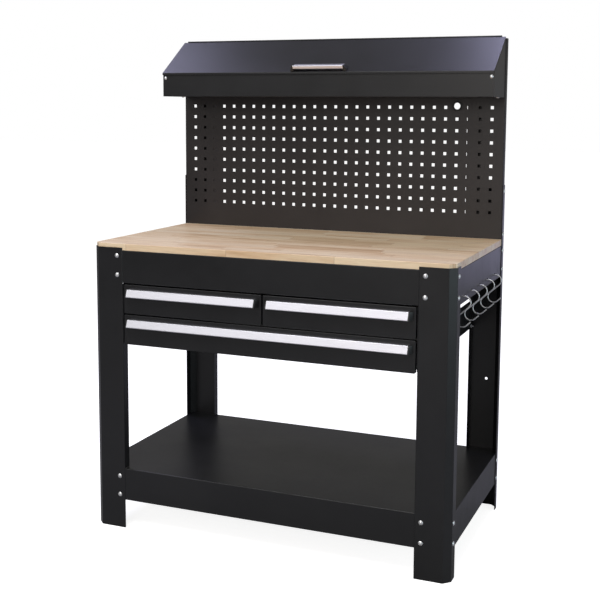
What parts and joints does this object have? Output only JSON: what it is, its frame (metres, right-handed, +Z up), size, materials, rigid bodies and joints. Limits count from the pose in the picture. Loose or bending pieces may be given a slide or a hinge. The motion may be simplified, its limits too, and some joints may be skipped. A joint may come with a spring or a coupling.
{
  "type": "tool workbench",
  "caption": "Sheet-steel workbench with a wooden top, drawers, a lower shelf, a perforated tool panel, a lidded canopy and side hooks.",
  "frame": {"origin": "on the floor, in the middle of the rectangle that the four legs stand in", "axes": "+X to the user's right, +Y from the front to the back panel, +Z up"},
  "size_m": [1.1751, 0.6756, 1.5515],
  "materials": {
    "powder_black": "satin black powder coat on bent sheet steel",
    "powder_panel": "satin black powder coat on the perforated panel",
    "zinc": "bright zinc plated",
    "slide_steel": "zinc plated cold-rolled steel, lightly greased",
    "grip_aluminium": "satin anodised extruded aluminium",
    "end_plastic": "fine-textured black plastic",
    "grommet_rubber": "matte black rubber",
    "board_wood": "clear-lacquered light hardwood, finger-jointed staves",
    "hinge_black": "black coated steel",
    "hook_steel": "zinc plated wire"
  },
  "bodies": {
    "bench": {"back_panel": "powder_panel", "cable_grommet": "grommet_rubber", "canopy_base": "powder_black", "canopy_bolts": "zinc", "canopy_front": "powder_black", "canopy_side_left": "powder_black", "canopy_side_right": "powder_black", "drawer_deck": "powder_black", "drawer_divider": "powder_black", "drawer_left_slide_outer": "slide_steel", "drawer_right_slide_outer": "slide_steel", "drawer_side_left": "powder_black", "drawer_side_right": "powder_black", "drawer_wide_slide_outer": "slide_steel", "frame_bolts": "zinc", "frame_nuts": "zinc", "front_apron": "powder_black", "leg_front_left": "powder_black", "leg_front_right": "powder_black", "leg_rear_left": "powder_black", "leg_rear_right": "powder_black", "lid_hinge_fixed_leaf": "hinge_black", "lid_hinge_pin": "hinge_black", "lower_shelf": "powder_black", "panel_stiffener_left": "powder_panel", "panel_stiffener_right": "powder_panel", "rear_apron": "powder_black", "shelf_stiffeners": "powder_black", "side_rail_left": "powder_black", "side_rail_right": "powder_black", "worktop": "board_wood", "worktop_screws": "zinc"},
    "drawer_left": {"drawer_left_front": "powder_black", "drawer_left_tray": "powder_black", "drawer_left_pull": "grip_aluminium", "drawer_left_pull_caps": "end_plastic", "drawer_left_slide_inner": "slide_steel"},
    "slide_left": {"drawer_left_slide_middle": "slide_steel"},
    "drawer_right": {"drawer_right_front": "powder_black", "drawer_right_tray": "powder_black", "drawer_right_pull": "grip_aluminium", "drawer_right_pull_caps": "end_plastic", "drawer_right_slide_inner": "slide_steel"},
    "slide_right": {"drawer_right_slide_middle": "slide_steel"},
    "drawer_wide": {"drawer_wide_front": "powder_black", "drawer_wide_tray": "powder_black", "drawer_wide_pull": "grip_aluminium", "drawer_wide_pull_caps": "end_plastic", "drawer_wide_slide_inner": "slide_steel"},
    "slide_wide": {"drawer_wide_slide_middle": "slide_steel"},
    "lid": {"lid": "powder_black", "lid_hinge_moving_leaf": "hinge_black", "lid_handle": "grip_aluminium", "lid_handle_caps": "end_plastic"},
    "hook_1": {"hook_1": "hook_steel"},
    "hook_2": {"hook_2": "hook_steel"},
    "hook_3": {"hook_3": "hook_steel"},
    "hook_4": {"hook_4": "hook_steel"},
    "hook_5": {"hook_5": "hook_steel"}
  },
  "joints": [
    {"name": "drawer_left_slide", "type": "slide", "parent": "bench", "child": "drawer_left", "axis": [0, -1, 0], "range_m": [0, 0.36]},
    {"name": "slide_left_middle", "type": "slide", "parent": "bench", "child": "slide_left", "axis": [0, -1, 0], "range_m": [0, 0.18]},
    {"name": "drawer_right_slide", "type": "slide", "parent": "bench", "child": "drawer_right", "axis": [0, -1, 0], "range_m": [0, 0.36]},
    {"name": "slide_right_middle", "type": "slide", "parent": "bench", "child": "slide_right", "axis": [0, -1, 0], "range_m": [0, 0.18]},
    {"name": "drawer_wide_slide", "type": "slide", "parent": "bench", "child": "drawer_wide", "axis": [0, -1, 0], "range_m": [0, 0.5]},
    {"name": "slide_wide_middle", "type": "slide", "parent": "bench", "child": "slide_wide", "axis": [0, -1, 0], "range_m": [0, 0.25]},
    {"name": "lid_hinge", "type": "hinge", "parent": "bench", "child": "lid", "pos_m": [0, 0.2765, 1.549], "axis": [-1, 0, 0], "range_deg": [0, 115]},
    {"name": "hook_1_swing", "type": "hinge", "parent": "bench", "child": "hook_1", "pos_m": [0.57225, -0.23, 0.7995], "axis": [0, 1, 0], "range_deg": [-12, 12]},
    {"name": "hook_2_swing", "type": "hinge", "parent": "bench", "child": "hook_2", "pos_m": [0.57225, -0.126, 0.7995], "axis": [0, 1, 0], "range_deg": [-12, 12]},
    {"name": "hook_3_swing", "type": "hinge", "parent": "bench", "child": "hook_3", "pos_m": [0.57225, -0.022, 0.7995], "axis": [0, 1, 0], "range_deg": [-12, 12]},
    {"name": "hook_4_swing", "type": "hinge", "parent": "bench", "child": "hook_4", "pos_m": [0.57225, 0.082, 0.7995], "axis": [0, 1, 0], "range_deg": [-12, 12]},
    {"name": "hook_5_swing", "type": "hinge", "parent": "bench", "child": "hook_5", "pos_m": [0.57225, 0.186, 0.7995], "axis": [0, 1, 0], "range_deg": [-12, 12]}
  ],
  "couplings": [
    {"joint": "slide_left_middle", "follows": "drawer_left_slide", "ratio": 0.5},
    {"joint": "slide_right_middle", "follows": "drawer_right_slide", "ratio": 0.5},
    {"joint": "slide_wide_middle", "follows": "drawer_wide_slide", "ratio": 0.5}
  ]
}
